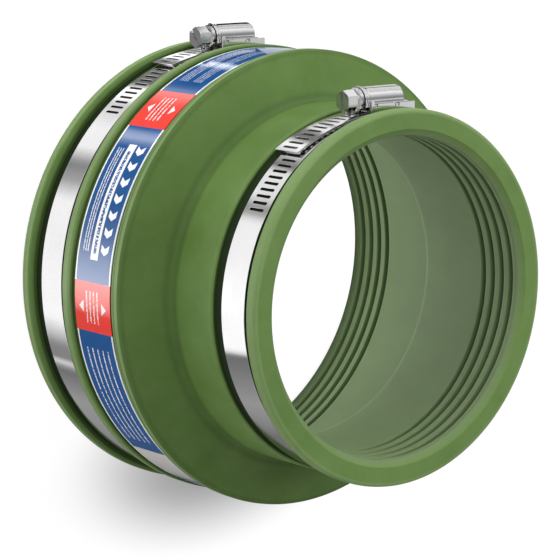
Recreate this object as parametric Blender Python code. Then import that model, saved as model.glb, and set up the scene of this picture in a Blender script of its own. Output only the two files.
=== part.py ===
"""Stepped rubber pipe coupling with two worm-drive band clamps, standing on its large end.

Blender 4.5, metres, +Z up. The pipe axis is vertical. The clamp housings are on the +Y side, so the
outer box isn't centred on the pipe axis: the axis is moved in -Y until the origin is the centre of the
box's underside. All the sizes below are in millimetres and angles in degrees.
"""

import math

import bmesh
import bpy
from mathutils import Vector

MM = 0.001

# What every pair of neighbouring pieces keeps between them.
GAP = 0.3

# Rubber sleeve, radii.
SMALL_BORE_R = 60.0
BORE_STEP = 19.2  # how much further out the large bore is
SMALL_WALL = 6.8  # bore to the floor of the clamp channel
LARGE_WALL = 5.3
SMALL_RIM_HEIGHT = 3.2  # rim above the channel floor
LARGE_RIM_HEIGHT = 3.4
SHOULDER_HEIGHT = 2.1  # neck above the small channel floor
RIDGE_HEIGHT = 3.2  # ridge beside the large clamp, above the channel floor
LABEL_RECESS = 1.6  # below the large rim

# Rubber sleeve, lengths along the axis from the large end up.
LARGE_RIM_LENGTH = 7.0
LARGE_BACK_SLACK = 3.6  # rim wall to band
LARGE_FRONT_SLACK = 1.7  # band to ridge
RIDGE_LENGTH = 6.0
LABEL_MARGIN = 1.6  # bare recess each side of the label
BEAD_LENGTH = 4.9
FACE_RISE = 6.6  # the step face climbs this much towards the neck
NECK_FILLET = 2.0
NECK_LENGTH = 30.0  # step face to the small channel
SHOULDER_LEAN = 0.4  # the shoulder's end face leans by this much
SMALL_BACK_SLACK = 4.8
SMALL_FRONT_SLACK = 3.2
SMALL_RIM_LENGTH = 5.4

# Rubber sleeve, rounded edges.
RIM_ROUND = 2.2  # outer edge of the large end
EDGE_ROUND = 1.2  # other edges of the rims, ridge and bead
RIDGE_ROUND = 2.0
BEAD_ROUND = 1.6
MOST_OF_WALL = 0.6  # share of a wall that a rounded edge may take

# Rubber sleeve, inside.
STEP_WEB = 3.1  # end of the small bore above the outer step face
INNER_CONE = 9.5
SMALL_MOUTH_CHAMFER = 2.6
LARGE_MOUTH_CHAMFER = 1.3
GROOVE_COUNT = 4
GROOVE_PITCH = 4.95
GROOVE_WIDTH = 2.6
GROOVE_DEPTH = 1.8
GROOVE_SLOPE = 0.65  # run of the groove's upper side
GROOVE_FLOOR = 1.05
LARGE_FIRST_GROOVE = 5.4  # from each end face
SMALL_FIRST_GROOVE = 4.3

# Label, a strip wrapped round the recess.
LABEL_WIDTH = 24.0
LABEL_THICKNESS = 0.35
LABEL_SEAM = 1.5
LABEL_SEAM_ANGLE = 300.0

# Clamp bands.
BAND_WIDTH = 13.0
BAND_THICKNESS = 0.7
SLOT_PITCH = 2.78
SLOT_WIDTH = 1.05
SLOT_LENGTH = 7.8
SLOT_END_MARGIN = 2.2  # band end to its first slot's centre
LOWER_SLOTS = 20
TAIL_SLOTS = 25
TAIL_LIFT = 0.6  # spring of the free end
LARGE_TAIL = 21.5  # housing centre to the free end, degrees
SMALL_TAIL = 36.0
LARGE_TAIL_SKEW = 1.6  # sideways run of the free end
SMALL_TAIL_SKEW = 3.2
RAMP_LENGTH = 12.0  # where the band climbs onto its own start
RAMP_CLEARANCE = 1.5  # end of the climb to the saddle

# Worm screw, along its own axis with its head at the -X end.
WORM_R = 3.6
WORM_LENGTH = 15.6
SCREW_PIN_R = 2.0
SCREW_PIN_LENGTH = 2.1
SCREW_NECK_R = 3.0
COLLAR_R = 4.5
COLLAR_THICKNESS = 1.3
HEX_ACROSS_FLATS = 7.0
HEX_LENGTH = 5.6
HEX_CHAMFER = 0.6
HEX_FACE_R = 3.3  # circle that the chamfer leaves on the head's face
DRIVER_SLOT_WIDTH = 1.2
DRIVER_SLOT_DEPTH = 1.6
LARGE_SLOT_TURN = 28.0  # degrees
SMALL_SLOT_TURN = 70.0

# Worm housing and the saddle that it is held to.
HOUSING_WALL = 0.9
HOUSING_MOUTH = 1.8  # thick ring at the head end
HOUSING_MOUTH_LIP = 0.4  # ring above the barrel
HOUSING_END = 0.9  # wall at the far end
HOUSING_SHELF_DROP = 0.7  # shelf below the screw axis
SADDLE_THICKNESS = 0.7
SADDLE_HEAD_OVERHANG = -0.6  # past the housing at the head end
SADDLE_TAIL_OVERHANG = 2.6

# Facets.
RING_SEGMENTS = 52
SCREW_SEGMENTS = 24
HOUSING_ARC_STEPS = 10
SADDLE_STEPS = 6
PLAIN_STEP = 7.5  # degrees
RAMP_STEP = 2.5
SHARP_ANGLE = 35.0

# Heights of the sleeve's features, from the large end.
LARGE_BAND_Z = LARGE_RIM_LENGTH + LARGE_BACK_SLACK + BAND_WIDTH / 2
RIDGE_Z = LARGE_BAND_Z + BAND_WIDTH / 2 + LARGE_FRONT_SLACK
RECESS_Z = RIDGE_Z + RIDGE_LENGTH
RECESS_TOP_Z = RECESS_Z + LABEL_WIDTH + 2 * LABEL_MARGIN
STEP_Z = RECESS_TOP_Z + BEAD_LENGTH
SHOULDER_Z = STEP_Z + NECK_LENGTH
SMALL_BAND_Z = SHOULDER_Z + SMALL_BACK_SLACK + BAND_WIDTH / 2
SMALL_RIM_Z = SMALL_BAND_Z + BAND_WIDTH / 2 + SMALL_FRONT_SLACK
TOP_Z = SMALL_RIM_Z + SMALL_RIM_LENGTH

# Radii of the sleeve's features.
LARGE_BORE_R = SMALL_BORE_R + BORE_STEP
LARGE_FLOOR_R = LARGE_BORE_R + LARGE_WALL
LARGE_RIM_R = LARGE_FLOOR_R + LARGE_RIM_HEIGHT
RIDGE_R = LARGE_FLOOR_R + RIDGE_HEIGHT
RECESS_R = LARGE_RIM_R - LABEL_RECESS
SMALL_FLOOR_R = SMALL_BORE_R + SMALL_WALL
SMALL_RIM_R = SMALL_FLOOR_R + SMALL_RIM_HEIGHT
NECK_R = SMALL_FLOOR_R + SHOULDER_HEIGHT

# The clamp's layers, outwards from the channel floor at the housing.
LAYER_RISE = max(BAND_THICKNESS, SADDLE_THICKNESS) + GAP
BAND_TOP = GAP + LAYER_RISE + BAND_THICKNESS
SCREW_HEIGHT = BAND_TOP + GAP + WORM_R
BARREL_R = WORM_R + GAP + HOUSING_WALL

# Places along the screw, with the worm's middle at x = 0.
HOUSING_HEAD_X = -(WORM_LENGTH / 2 + GAP + HOUSING_MOUTH)
HOUSING_TAIL_X = WORM_LENGTH / 2 + GAP + HOUSING_END
SADDLE_HEAD_X = HOUSING_HEAD_X - SADDLE_HEAD_OVERHANG
SADDLE_TAIL_X = HOUSING_TAIL_X + SADDLE_TAIL_OVERHANG

# The pipe axis, so that the origin is the middle of the outer box's underside.
HOUSING_REACH = LARGE_FLOOR_R + SCREW_HEIGHT + BARREL_R + HOUSING_MOUTH_LIP
AXIS_Y = -(HOUSING_REACH - LARGE_RIM_R) / 2


def material(name, colour, roughness, metallic):
    mat = bpy.data.materials.new(name)
    mat.use_nodes = True
    shader = mat.node_tree.nodes["Principled BSDF"]
    shader.inputs["Base Color"].default_value = (*colour, 1.0)
    shader.inputs["Roughness"].default_value = roughness
    shader.inputs["Metallic"].default_value = metallic
    return mat


def finish(name, bm, mat, parent, location=(0.0, 0.0, 0.0)):
    """Turns a bmesh in millimetres into a named object under parent."""
    bmesh.ops.recalc_face_normals(bm, faces=bm.faces)
    bmesh.ops.scale(bm, vec=(MM, MM, MM), verts=bm.verts)
    mesh = bpy.data.meshes.new(name)
    bm.to_mesh(mesh)
    bm.free()
    mesh.shade_smooth()
    mesh.set_sharp_from_angle(angle=math.radians(SHARP_ANGLE))
    mesh.materials.append(mat)
    obj = bpy.data.objects.new(name, mesh)
    bpy.context.scene.collection.objects.link(obj)
    obj.parent = parent
    obj.location = [c * MM for c in location]
    return obj


def corner(radius, height, size, start, end, steps=2):
    """Points of a rounded corner, (r, z), about a centre, from one angle to another."""
    points = []
    for i in range(steps + 1):
        a = math.radians(start + (end - start) * i / steps)
        points.append((radius + size * math.cos(a), height + size * math.sin(a)))
    return points


def fitted(radius, *walls):
    """A rounded edge's radius, kept small enough for the walls that it rounds."""
    return min([radius] + [MOST_OF_WALL * wall for wall in walls])


def sleeve_profile():
    """The sleeve's closed section as (r, z), up the outside and down the inside."""
    # Large rim and its clamp channel.
    big = fitted(RIM_ROUND, LARGE_RIM_HEIGHT, LARGE_RIM_LENGTH / 2)
    small = fitted(EDGE_ROUND, SMALL_RIM_HEIGHT, SMALL_RIM_LENGTH / 2, LARGE_RIM_LENGTH / 2)
    points = corner(LARGE_RIM_R - big, big, big, -90, 0, 3)
    points += corner(LARGE_RIM_R - small, LARGE_RIM_LENGTH - small, small, 0, 90)
    points += [(LARGE_FLOOR_R, LARGE_RIM_LENGTH), (LARGE_FLOOR_R, RIDGE_Z)]
    # Rounded ridge, label recess and front bead.
    round_ridge = fitted(RIDGE_ROUND, RIDGE_HEIGHT, RIDGE_LENGTH / 2)
    points += corner(RIDGE_R - round_ridge, RIDGE_Z + round_ridge, round_ridge, -90, 0)
    points += corner(RIDGE_R - small, RECESS_Z - small, small, 0, 60, 1)
    points += [(RECESS_R, RECESS_Z), (RECESS_R, RECESS_TOP_Z)]
    bead = fitted(BEAD_ROUND, BEAD_LENGTH / 2)
    points += corner(LARGE_RIM_R - small, RECESS_TOP_Z + small, small, -60, 0, 1)
    points += corner(LARGE_RIM_R - bead, STEP_Z - bead, bead, 0, 80)
    # Sloping step face, its fillet and the neck with its rounded shoulder.
    fillet = fitted(NECK_FILLET, LARGE_RIM_R - NECK_R, NECK_LENGTH - FACE_RISE)
    slope = math.degrees(math.atan2(FACE_RISE, LARGE_RIM_R - NECK_R))
    middle = STEP_Z + FACE_RISE + fillet
    points += corner(NECK_R + fillet, middle, fillet, 270 - slope, 180)
    shoulder = fitted(EDGE_ROUND, SHOULDER_HEIGHT)
    points += corner(NECK_R - shoulder, SHOULDER_Z - shoulder, shoulder, 0, 90)
    # Small channel and rim.
    points += [(SMALL_FLOOR_R, SHOULDER_Z + SHOULDER_LEAN), (SMALL_FLOOR_R, SMALL_RIM_Z)]
    points += corner(SMALL_RIM_R - small, SMALL_RIM_Z + small, small, -90, 0)
    points += corner(SMALL_RIM_R - small, TOP_Z - small, small, 0, 90)
    # Small bore from its chamfered mouth down, the inner cone and the large bore.
    points += [(SMALL_BORE_R + SMALL_MOUTH_CHAMFER, TOP_Z)]
    points += [(SMALL_BORE_R, TOP_Z - SMALL_MOUTH_CHAMFER)]
    for i in range(GROOVE_COUNT):
        top = TOP_Z - SMALL_FIRST_GROOVE - i * GROOVE_PITCH
        points += groove(SMALL_BORE_R, top)
    points += [(SMALL_BORE_R, STEP_Z + STEP_WEB)]
    points += [(LARGE_BORE_R, STEP_Z + STEP_WEB - INNER_CONE)]
    for i in reversed(range(GROOVE_COUNT)):
        top = LARGE_FIRST_GROOVE + i * GROOVE_PITCH + GROOVE_WIDTH
        points += groove(LARGE_BORE_R, top)
    points += [(LARGE_BORE_R, LARGE_MOUTH_CHAMFER), (LARGE_BORE_R + LARGE_MOUTH_CHAMFER, 0.0)]
    return points


def groove(bore, top):
    """One sealing groove in a bore, from its upper edge down."""
    return [
        (bore, top),
        (bore + GROOVE_DEPTH, top - GROOVE_SLOPE),
        (bore + GROOVE_DEPTH, top - GROOVE_SLOPE - GROOVE_FLOOR),
        (bore, top - GROOVE_WIDTH),
    ]


def make_sleeve(mat, parent):
    bm = bmesh.new()
    ring = [bm.verts.new((r, 0.0, z)) for r, z in sleeve_profile()]
    edges = [bm.edges.new((ring[i - 1], ring[i])) for i in range(len(ring))]
    bmesh.ops.spin(
        bm,
        geom=ring + edges,
        cent=(0, 0, 0),
        axis=(0, 0, 1),
        angle=2 * math.pi,
        steps=RING_SEGMENTS,
        use_merge=True,
        use_duplicate=False,
    )
    bmesh.ops.remove_doubles(bm, verts=bm.verts, dist=0.0001)
    return finish("rubber_sleeve", bm, mat, parent)


def strip(stations, columns, holes):
    """A closed strip along stations, each a function from (column, layer) to a point.

    columns is how many points there are across, and holes says for each cell along whether
    its middle column pair is cut through.
    """
    bm = bmesh.new()
    grid = [
        [[bm.verts.new(at(c, k)) for k in (0, 1)] for c in range(columns)]
        for at in stations
    ]
    middle = (columns - 2) // 2

    def cut(i, c):
        return 0 <= i < len(holes) and holes[i] and c == middle

    for i in range(len(stations) - 1):
        here, there = grid[i], grid[i + 1]
        for c in range(columns - 1):
            if cut(i, c):
                continue
            for k in (0, 1):
                bm.faces.new((here[c][k], here[c + 1][k], there[c + 1][k], there[c][k]))
        for c in range(columns):
            edge = c in (0, columns - 1)
            if edge or cut(i, c) or cut(i, c - 1):
                bm.faces.new((here[c][0], here[c][1], there[c][1], there[c][0]))
    for i, row in enumerate(grid):
        for c in range(columns - 1):
            end = i in (0, len(grid) - 1)
            if end or cut(i, c) or cut(i - 1, c):
                bm.faces.new((row[c][0], row[c][1], row[c + 1][1], row[c + 1][0]))
    return bm


def smooth(x):
    x = min(max(x, 0.0), 1.0)
    return x * x * (3 - 2 * x)


def band_path(floor_r, centre_z, tail, skew):
    """The band's start and end angles, and a function for the points of its section."""
    seat = floor_r + GAP
    start = 90 + math.degrees(math.asin((GAP - SADDLE_HEAD_X) / seat))
    end = 450 + tail
    ramp_end = 450 - math.degrees(math.asin((SADDLE_TAIL_X + RAMP_CLEARANCE) / seat))
    ramp_start = ramp_end - math.degrees(RAMP_LENGTH / seat)
    leaves = 450 + math.degrees(-HOUSING_HEAD_X / seat)
    across = (-BAND_WIDTH / 2, -SLOT_LENGTH / 2, SLOT_LENGTH / 2, BAND_WIDTH / 2)

    def at(angle):
        rise = LAYER_RISE * smooth((angle - ramp_start) / (ramp_end - ramp_start))
        free = max(0.0, (angle - leaves) / (end - leaves))
        rise += TAIL_LIFT * free * free
        a = math.radians(angle)

        def point(column, layer):
            r = seat + rise + layer * BAND_THICKNESS
            z = centre_z + across[column] - skew * free
            return (r * math.cos(a), r * math.sin(a), z)

        return point

    return start, end, ramp_start, ramp_end, at


def band_stations(floor_r, start, end, ramp_start, ramp_end):
    """The angles along the band, and which cells between them are slots."""
    seat = math.radians(1.0) * (floor_r + GAP + BAND_THICKNESS)
    pitch, half = SLOT_PITCH / seat, SLOT_WIDTH / 2 / seat
    first, last = start + SLOT_END_MARGIN / seat, end - SLOT_END_MARGIN / seat
    lower = [first + i * pitch for i in range(LOWER_SLOTS)]
    upper = [last - i * pitch for i in reversed(range(TAIL_SLOTS))]
    angles, holes = [start], []
    for centre in lower:
        angles += [centre - half, centre + half]
        holes += [False, True]
    reach = upper[0] - half
    while angles[-1] < reach - 0.01:
        step = RAMP_STEP if ramp_start - 1 < angles[-1] < ramp_end else PLAIN_STEP
        ahead = min(angles[-1] + step, reach)
        if angles[-1] < ramp_start < ahead:
            ahead = ramp_start
        angles.append(ahead)
        holes.append(False)
    angles.append(upper[0] + half)
    holes.append(True)
    for centre in upper[1:]:
        angles += [centre - half, centre + half]
        holes += [False, True]
    angles.append(end)
    holes.append(False)
    return angles, holes


def make_band(name, floor_r, centre_z, tail, skew, mat, parent):
    start, end, ramp_start, ramp_end, at = band_path(floor_r, centre_z, tail, skew)
    angles, holes = band_stations(floor_r, start, end, ramp_start, ramp_end)
    return finish(name, strip([at(a) for a in angles], 4, holes), mat, parent)


def make_label(mat, parent):
    inner = RECESS_R + GAP
    half_seam = math.degrees(LABEL_SEAM / 2 / inner)
    low = RECESS_Z + LABEL_MARGIN

    def at(angle):
        a = math.radians(angle)

        def point(column, layer):
            r = inner + layer * LABEL_THICKNESS
            return (r * math.cos(a), r * math.sin(a), low + column * LABEL_WIDTH)

        return point

    start, turn = LABEL_SEAM_ANGLE + half_seam, 360 - 2 * half_seam
    stations = [at(start + turn * i / RING_SEGMENTS) for i in range(RING_SEGMENTS + 1)]
    return finish("label", strip(stations, 2, []), mat, parent)


def make_housing(name, floor_r, centre_z, mat, parent):
    """Arched worm housing, open below, with feet on the band's upper layer."""
    axis = floor_r + SCREW_HEIGHT
    shelf = axis - HOUSING_SHELF_DROP
    under = shelf - HOUSING_WALL
    foot_r = floor_r + BAND_TOP + GAP
    outer_z = BAND_WIDTH / 2

    def section(x, inner_r, outer_r):
        foot = math.sqrt(foot_r**2 - x**2)
        low_out = math.asin((axis - shelf) / outer_r)
        low_in = math.asin((axis - under) / inner_r)
        outline = [(outer_z, foot), (outer_z, shelf)]
        inline = [(outer_z - HOUSING_WALL, foot), (outer_z - HOUSING_WALL, under)]
        for i in range(HOUSING_ARC_STEPS + 1):
            t = i / HOUSING_ARC_STEPS
            a = -low_out + (math.pi + 2 * low_out) * t
            b = -low_in + (math.pi + 2 * low_in) * t
            outline.append((outer_r * math.cos(a), axis + outer_r * math.sin(a)))
            inline.append((inner_r * math.cos(b), axis + inner_r * math.sin(b)))
        outline += [(-z, y) for z, y in outline[1::-1]]
        inline += [(-z, y) for z, y in inline[1::-1]]

        def point(column, layer):
            z, y = (inline, outline)[layer][column]
            return (x, y, centre_z + z)

        return point

    worm = WORM_R + GAP
    mouth = (SCREW_NECK_R + GAP, BARREL_R + HOUSING_MOUTH_LIP)
    slope = GAP
    stations = [
        section(HOUSING_HEAD_X, *mouth),
        section(HOUSING_HEAD_X + HOUSING_MOUTH - slope, *mouth),
        section(HOUSING_HEAD_X + HOUSING_MOUTH, worm, BARREL_R),
        section(-WORM_LENGTH / 4, worm, BARREL_R),
        section(WORM_LENGTH / 4, worm, BARREL_R),
        section(WORM_LENGTH / 2 + GAP, worm, BARREL_R),
        section(WORM_LENGTH / 2 + GAP + slope, SCREW_PIN_R + GAP, BARREL_R),
        section(HOUSING_TAIL_X, SCREW_PIN_R + GAP, BARREL_R - slope),
    ]
    return finish(name, strip(stations, HOUSING_ARC_STEPS + 5, []), mat, parent)


def make_saddle(name, floor_r, centre_z, mat, parent):
    """Channel-shaped saddle under the band, with its sides standing beside the housing's feet."""
    top = floor_r + SCREW_HEIGHT - HOUSING_SHELF_DROP - GAP
    inner_z = BAND_WIDTH / 2 + GAP
    outer_z = inner_z + SADDLE_THICKNESS

    def section(x):
        base = math.sqrt((floor_r + GAP) ** 2 - x**2)
        inside = math.sqrt((floor_r + GAP + SADDLE_THICKNESS) ** 2 - x**2)
        outline = [(outer_z, top), (outer_z, base), (-outer_z, base), (-outer_z, top)]
        inline = [(inner_z, top), (inner_z, inside), (-inner_z, inside), (-inner_z, top)]

        def point(column, layer):
            z, y = (inline, outline)[layer][column]
            return (x, y, centre_z + z)

        return point

    step = (SADDLE_TAIL_X - SADDLE_HEAD_X) / SADDLE_STEPS
    stations = [section(SADDLE_HEAD_X + step * i) for i in range(SADDLE_STEPS + 1)]
    return finish(name, strip(stations, 4, []), mat, parent)


def make_screw(name, floor_r, centre_z, slot_turn, mat, parent):
    """Slotted hex-head worm screw about its own X axis, its origin on the axis."""
    bm = bmesh.new()
    flat = HEX_ACROSS_FLATS / 2
    collar_x = HOUSING_HEAD_X - GAP - COLLAR_THICKNESS
    head_x = collar_x - HEX_LENGTH
    worm_x = HOUSING_HEAD_X + HOUSING_MOUTH + GAP

    def hexagon(angle):
        return flat / math.cos((angle + math.pi / 6) % (math.pi / 3) - math.pi / 6)

    def disc(radius):
        return lambda angle: radius

    sections = [
        (head_x, disc(HEX_FACE_R)),
        (head_x + HEX_CHAMFER, hexagon),
        (collar_x, hexagon),
        (collar_x, disc(COLLAR_R)),
        (collar_x + COLLAR_THICKNESS, disc(COLLAR_R)),
        (collar_x + COLLAR_THICKNESS, disc(SCREW_NECK_R)),
        (worm_x, disc(SCREW_NECK_R)),
        (worm_x, disc(WORM_R)),
        (WORM_LENGTH / 2, disc(WORM_R)),
        (WORM_LENGTH / 2, disc(SCREW_PIN_R)),
        (WORM_LENGTH / 2 + SCREW_PIN_LENGTH, disc(SCREW_PIN_R)),
    ]
    rings = []
    for x, radius in sections:
        ring = []
        for i in range(SCREW_SEGMENTS):
            a = 2 * math.pi * i / SCREW_SEGMENTS
            ring.append(bm.verts.new((x, radius(a) * math.cos(a), radius(a) * math.sin(a))))
        rings.append(ring)
    for lower, upper in zip(rings, rings[1:]):
        for i in range(SCREW_SEGMENTS):
            j = (i + 1) % SCREW_SEGMENTS
            bm.faces.new((lower[i], lower[j], upper[j], upper[i]))
    bm.faces.new(rings[0])
    bm.faces.new(rings[-1])
    place = (0.0, floor_r + SCREW_HEIGHT, centre_z)
    screw = finish(name, bm, mat, parent, place)

    cutter_bm = bmesh.new()
    bmesh.ops.create_cube(cutter_bm, size=1.0)
    size = (2 * DRIVER_SLOT_DEPTH, 3 * HEX_ACROSS_FLATS, DRIVER_SLOT_WIDTH)
    bmesh.ops.scale(cutter_bm, vec=Vector(size), verts=cutter_bm.verts)
    cutter = finish(name + "_slot_cutter", cutter_bm, mat, screw, (head_x, 0.0, 0.0))
    cutter.rotation_euler = (math.radians(slot_turn), 0.0, 0.0)
    cutter.hide_render = True
    cutter.display_type = "WIRE"
    cut = screw.modifiers.new("driver_slot", "BOOLEAN")
    cut.operation = "DIFFERENCE"
    cut.solver = "EXACT"
    cut.object = cutter
    return screw


def make_clamp(side, floor_r, centre_z, tail, skew, slot_turn, band_mat, screw_mat, parent):
    """One clamp: its band, saddle, worm housing and worm screw."""
    make_band(side + "_band", floor_r, centre_z, tail, skew, band_mat, parent)
    make_saddle(side + "_saddle", floor_r, centre_z, band_mat, parent)
    make_housing(side + "_worm_housing", floor_r, centre_z, screw_mat, parent)
    make_screw(side + "_worm_screw", floor_r, centre_z, slot_turn, screw_mat, parent)


def main():
    for obj in list(bpy.data.objects):
        bpy.data.objects.remove(obj, do_unlink=True)
    axis = bpy.data.objects.new("pipe_axis", None)
    bpy.context.scene.collection.objects.link(axis)
    axis.location = (0.0, AXIS_Y * MM, 0.0)

    rubber = material("green_rubber", (0.135, 0.235, 0.065), 0.55, 0.0)
    printed = material("printed_label", (0.03, 0.12, 0.40), 0.25, 0.0)
    steel = material("band_steel", (0.72, 0.71, 0.72), 0.28, 1.0)
    zinc = material("screw_steel", (0.66, 0.65, 0.66), 0.22, 1.0)

    make_sleeve(rubber, axis)
    make_label(printed, axis)
    large = (LARGE_FLOOR_R, LARGE_BAND_Z, LARGE_TAIL, LARGE_TAIL_SKEW, LARGE_SLOT_TURN)
    small = (SMALL_FLOOR_R, SMALL_BAND_Z, SMALL_TAIL, SMALL_TAIL_SKEW, SMALL_SLOT_TURN)
    make_clamp("large", *large, steel, zinc, axis)
    make_clamp("small", *small, steel, zinc, axis)
    bpy.context.view_layer.update()


main()
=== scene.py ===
import math

import bmesh
import bpy
from mathutils import Matrix, Vector


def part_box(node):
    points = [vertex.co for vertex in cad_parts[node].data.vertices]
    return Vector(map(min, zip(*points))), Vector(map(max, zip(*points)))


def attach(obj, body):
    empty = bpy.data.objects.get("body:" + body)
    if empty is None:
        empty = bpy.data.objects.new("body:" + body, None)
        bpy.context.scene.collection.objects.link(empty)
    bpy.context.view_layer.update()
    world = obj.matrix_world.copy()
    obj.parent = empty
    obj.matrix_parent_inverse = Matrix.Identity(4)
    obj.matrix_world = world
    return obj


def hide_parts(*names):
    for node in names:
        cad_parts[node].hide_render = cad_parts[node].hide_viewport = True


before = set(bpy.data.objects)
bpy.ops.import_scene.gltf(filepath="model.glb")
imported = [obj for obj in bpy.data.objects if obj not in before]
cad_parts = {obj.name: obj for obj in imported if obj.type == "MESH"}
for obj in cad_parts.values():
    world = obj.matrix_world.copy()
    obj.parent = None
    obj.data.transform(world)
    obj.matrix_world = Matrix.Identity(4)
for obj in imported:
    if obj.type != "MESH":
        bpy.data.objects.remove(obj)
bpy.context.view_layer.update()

# Looks of a stepped green rubber pipe coupling with two worm-drive band clamps and a wrap label.
# It stands on its large end: +Z is the pipe axis, the clamp housings are on the +Y side and the
# screw heads point to -X. Sizes are in millimetres and angles in degrees. Angles round the pipe
# start at +X and run to +Y.

MM = 0.001
DEGREES = 180.0 / math.pi
GAP = 0.3

# Sleeve, radii.
SMALL_BORE_R = 60.0
BORE_STEP = 19.2
SMALL_WALL = 6.8
LARGE_WALL = 5.3
SMALL_RIM_HEIGHT = 3.2
LARGE_RIM_HEIGHT = 3.4
SHOULDER_HEIGHT = 2.1
RIDGE_HEIGHT = 3.2
LABEL_RECESS = 1.6

# Sleeve, lengths from the large end up. The ridge and the label lie as in the photograph, up to
# 1.8 mm from where the solids have them.
LARGE_RIM_LENGTH = 7.0
LARGE_BACK_SLACK = 3.6
LARGE_FRONT_SLACK = 3.0
RIDGE_LENGTH = 6.3
LABEL_MARGIN = 1.8
BEAD_LENGTH = 4.9
FACE_RISE = 6.6
NECK_LENGTH = 30.0
SHOULDER_LEAN = 0.4
SMALL_BACK_SLACK = 4.8
SMALL_FRONT_SLACK = 3.2
SMALL_RIM_LENGTH = 5.4

# Sleeve, rounded edges.
RIM_ROUND = 2.2
EDGE_ROUND = 1.2
RIDGE_ROUND = 2.0
BEAD_ROUND = 1.6
NECK_FILLET = 3.0
CREASE_ROUND = 0.5
FINE_ROUND = 0.35

# Sleeve, inside.
STEP_WEB = 3.1
INNER_CONE = 9.5
SMALL_MOUTH_CHAMFER = 2.6
LARGE_MOUTH_CHAMFER = 1.3
GROOVE_COUNT = 4
GROOVE_PITCH = 4.95
GROOVE_WIDTH = 2.6
GROOVE_DEPTH = 1.8
GROOVE_SLOPE = 0.65
GROOVE_FLOOR = 1.05
LARGE_FIRST_GROOVE = 5.4
SMALL_FIRST_GROOVE = 4.3

# Label.
LABEL_WIDTH = 22.0
LABEL_THICKNESS = 0.35
LABEL_SEAM = 1.5
LABEL_SEAM_ANGLE = 300.0

# Clamp bands.
BAND_WIDTH = 13.0
BAND_THICKNESS = 0.7
SLOT_PITCH = 2.78
SLOT_WIDTH = 1.05
SLOT_LENGTH = 7.8
SLOT_END_MARGIN = 2.2
TAIL_SLOTS = 25
TAIL_LIFT = 0.6
RAMP_LENGTH = 12.0
RAMP_CLEARANCE = 1.5
BAND_EDGE = 0.12

# Worm screw and housing.
WORM_R = 3.6
WORM_LENGTH = 15.6
THREAD_HEIGHT = 0.65
SCREW_PIN_R = 2.0
SCREW_PIN_LENGTH = 2.1
SCREW_NECK_R = 3.0
COLLAR_R = 4.5
COLLAR_THICKNESS = 1.3
HEX_ACROSS_FLATS = 7.0
HEX_LENGTH = 5.6
HEX_CHAMFER = 0.6
HEX_FACE_R = 3.3
HEX_CROWN_R = 3.75
DRIVER_SLOT_WIDTH = 1.2
DRIVER_SLOT_DEPTH = 1.6
HOUSING_WALL = 0.9
HOUSING_MOUTH = 1.8
HOUSING_MOUTH_LIP = 0.4
MOUTH_SKIRT = 1.6
HOUSING_END = 0.9
HOUSING_SHELF_DROP = 0.7
SADDLE_THICKNESS = 0.7
SADDLE_HEAD_OVERHANG = -0.6
SADDLE_TAIL_OVERHANG = 2.6
SADDLE_ROWS = (-1.5, 0.5, 5.5, 8.0)
NOTCH_PLACES = (-7.4, 3.0)
NOTCH_LENGTH = 2.0
NOTCH_DEPTH = 1.2
TAB_LENGTH = 1.3
TAB_RISE = 1.5

# Heights and radii that follow from these.
LARGE_BAND_Z = LARGE_RIM_LENGTH + LARGE_BACK_SLACK + BAND_WIDTH / 2
RIDGE_Z = LARGE_BAND_Z + BAND_WIDTH / 2 + LARGE_FRONT_SLACK
RECESS_Z = RIDGE_Z + RIDGE_LENGTH
RECESS_TOP_Z = RECESS_Z + LABEL_WIDTH + 2 * LABEL_MARGIN
STEP_Z = RECESS_TOP_Z + BEAD_LENGTH
SHOULDER_Z = STEP_Z + NECK_LENGTH
SMALL_BAND_Z = SHOULDER_Z + SMALL_BACK_SLACK + BAND_WIDTH / 2
SMALL_RIM_Z = SMALL_BAND_Z + BAND_WIDTH / 2 + SMALL_FRONT_SLACK
TOP_Z = SMALL_RIM_Z + SMALL_RIM_LENGTH
LARGE_BORE_R = SMALL_BORE_R + BORE_STEP
LARGE_FLOOR_R = LARGE_BORE_R + LARGE_WALL
LARGE_RIM_R = LARGE_FLOOR_R + LARGE_RIM_HEIGHT
RIDGE_R = LARGE_FLOOR_R + RIDGE_HEIGHT
RECESS_R = LARGE_RIM_R - LABEL_RECESS
SMALL_FLOOR_R = SMALL_BORE_R + SMALL_WALL
SMALL_RIM_R = SMALL_FLOOR_R + SMALL_RIM_HEIGHT
NECK_R = SMALL_FLOOR_R + SHOULDER_HEIGHT
LAYER_RISE = max(BAND_THICKNESS, SADDLE_THICKNESS) + GAP
BAND_TOP = GAP + LAYER_RISE + BAND_THICKNESS
SCREW_HEIGHT = BAND_TOP + GAP + WORM_R
BARREL_R = WORM_R + GAP + HOUSING_WALL
HOUSING_HEAD_X = -(WORM_LENGTH / 2 + GAP + HOUSING_MOUTH)
HOUSING_TAIL_X = WORM_LENGTH / 2 + GAP + HOUSING_END
SADDLE_HEAD_X = HOUSING_HEAD_X - SADDLE_HEAD_OVERHANG
SADDLE_TAIL_X = HOUSING_TAIL_X + SADDLE_TAIL_OVERHANG

# The pipe axis stands in the middle of the sleeve.
sleeve_low, sleeve_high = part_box("rubber_sleeve")
AXIS_Y = (sleeve_low.y + sleeve_high.y) / 2 / MM

# Each clamp: channel floor, middle of the band, slots in its start, free end past the housing,
# its sideways run, and how far its screw is turned.
CLAMPS = {
    "large": {
        "floor": LARGE_FLOOR_R, "z": LARGE_BAND_Z,
        "slots": 19, "tail": 21.5, "skew": 1.6, "turn": -40.0,
    },
    "small": {
        "floor": SMALL_FLOOR_R, "z": SMALL_BAND_Z,
        "slots": 21, "tail": 36.0, "skew": 3.2, "turn": -5.0,
    },
}

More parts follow.
